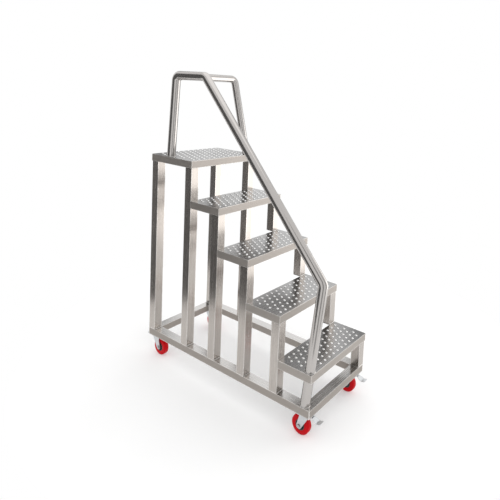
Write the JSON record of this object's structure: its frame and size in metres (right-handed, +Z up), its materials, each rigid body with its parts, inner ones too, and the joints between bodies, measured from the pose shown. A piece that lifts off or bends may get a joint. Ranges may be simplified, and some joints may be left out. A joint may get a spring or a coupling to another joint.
{
  "type": "mobile step platform",
  "caption": "Stainless steel mobile step platform with folded treads, a handrail on one side, a guard across the platform and braked swivel castors.",
  "frame": {"origin": "centre of the base on the floor", "axes": "+Z up, -Y towards the front where the lowest tread is, +X towards the climber's right"},
  "size_m": [0.5, 1.294, 1.7],
  "materials": {
    "frame_tube": "brushed stainless square tube",
    "tread_sheet": "brushed stainless sheet with raised round buttons",
    "handrail_tube": "satin polished stainless round tube",
    "castor_zinc": "bright zinc plated pressed steel",
    "castor_bolt": "zinc plated bolt",
    "castor_pedal": "zinc plated pressed tab",
    "wheel_hub": "dark grey moulded core",
    "wheel_tyre": "red polyurethane tread, satin"
  },
  "bodies": {
    "frame": {"base_front": "frame_tube", "base_rear": "frame_tube", "base_left": "frame_tube", "base_right": "frame_tube", "post_left_1": "frame_tube", "post_left_2": "frame_tube", "post_left_3": "frame_tube", "post_left_4": "frame_tube", "post_left_5": "frame_tube", "post_right_1": "frame_tube", "post_right_2": "frame_tube", "post_right_3": "frame_tube", "post_right_4": "frame_tube", "post_right_5": "frame_tube", "post_right_6": "frame_tube", "tread_1": "tread_sheet", "tread_2": "tread_sheet", "tread_3": "tread_sheet", "tread_4": "tread_sheet", "tread_5": "tread_sheet", "rail_rear_leg": "handrail_tube", "rail_top_bar": "handrail_tube", "rail_slope": "handrail_tube", "rail_front_leg": "handrail_tube", "guard_bar": "handrail_tube", "guard_right_leg": "handrail_tube", "plate_front_left": "castor_zinc", "plate_front_right": "castor_zinc", "plate_rear_left": "castor_zinc", "plate_rear_right": "castor_zinc"},
    "swivel_front_left": {"fork_front_left": "castor_zinc", "axle_front_left": "castor_bolt", "pedal_front_left": "castor_pedal"},
    "wheel_front_left": {"hub_front_left": "wheel_hub", "tyre_front_left": "wheel_tyre"},
    "swivel_front_right": {"fork_front_right": "castor_zinc", "axle_front_right": "castor_bolt", "pedal_front_right": "castor_pedal"},
    "wheel_front_right": {"hub_front_right": "wheel_hub", "tyre_front_right": "wheel_tyre"},
    "swivel_rear_left": {"fork_rear_left": "castor_zinc", "axle_rear_left": "castor_bolt", "pedal_rear_left": "castor_pedal"},
    "wheel_rear_left": {"hub_rear_left": "wheel_hub", "tyre_rear_left": "wheel_tyre"},
    "swivel_rear_right": {"fork_rear_right": "castor_zinc", "axle_rear_right": "castor_bolt", "pedal_rear_right": "castor_pedal"},
    "wheel_rear_right": {"hub_rear_right": "wheel_hub", "tyre_rear_right": "wheel_tyre"}
  },
  "joints": [
    {"name": "swivel_joint_front_left", "type": "hinge", "parent": "frame", "child": "swivel_front_left", "pos_m": [-0.207, -0.56, 0.112], "axis": [0, 0, 1], "continuous": true},
    {"name": "spin_joint_front_left", "type": "hinge", "parent": "swivel_front_left", "child": "wheel_front_left", "pos_m": [-0.207, -0.532, 0.05], "axis": [1, 0, 0], "continuous": true},
    {"name": "swivel_joint_front_right", "type": "hinge", "parent": "frame", "child": "swivel_front_right", "pos_m": [0.207, -0.56, 0.112], "axis": [0, 0, 1], "continuous": true},
    {"name": "spin_joint_front_right", "type": "hinge", "parent": "swivel_front_right", "child": "wheel_front_right", "pos_m": [0.207, -0.532, 0.05], "axis": [1, 0, 0], "continuous": true},
    {"name": "swivel_joint_rear_left", "type": "hinge", "parent": "frame", "child": "swivel_rear_left", "pos_m": [-0.207, 0.56, 0.112], "axis": [0, 0, 1], "continuous": true},
    {"name": "spin_joint_rear_left", "type": "hinge", "parent": "swivel_rear_left", "child": "wheel_rear_left", "pos_m": [-0.207, 0.532, 0.05], "axis": [1, 0, 0], "continuous": true},
    {"name": "swivel_joint_rear_right", "type": "hinge", "parent": "frame", "child": "swivel_rear_right", "pos_m": [0.207, 0.56, 0.112], "axis": [0, 0, 1], "continuous": true},
    {"name": "spin_joint_rear_right", "type": "hinge", "parent": "swivel_rear_right", "child": "wheel_rear_right", "pos_m": [0.207, 0.532, 0.05], "axis": [1, 0, 0], "continuous": true}
  ]
}
